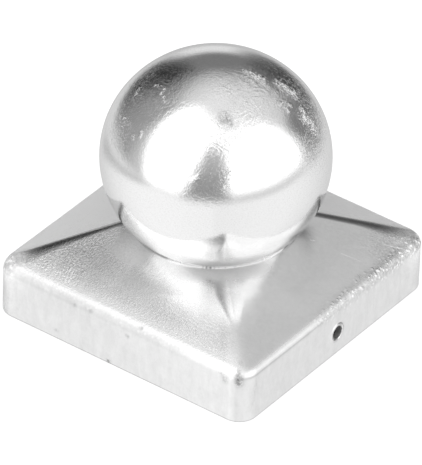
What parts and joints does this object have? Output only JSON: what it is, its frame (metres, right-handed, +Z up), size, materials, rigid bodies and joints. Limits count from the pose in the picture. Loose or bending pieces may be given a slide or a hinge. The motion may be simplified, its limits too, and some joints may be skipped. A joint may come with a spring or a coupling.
{
  "type": "ball-topped post cap",
  "caption": "Square pressed-steel cap with a low pyramid crown and a ball set in it, slipped over a fence post and screwed through its skirt.",
  "frame": {"origin": "middle of the skirt's lower edge, on the plane that the cap stands on", "axes": "+Z up through the ball; the sides of the square face along X and Y; the two screw holes are on the X sides"},
  "size_m": [0.074, 0.074, 0.0673],
  "materials": {
    "sheet": "hot-dip galvanised sheet, satin and mottled, with zinc lumps along the eaves",
    "ball": "hot-dip galvanised, bright and glossy, with a few white zinc crusts and fine scratches"
  },
  "bodies": {
    "root": {"post_cap": "sheet", "ball": "ball"}
  },
  "joints": []
}
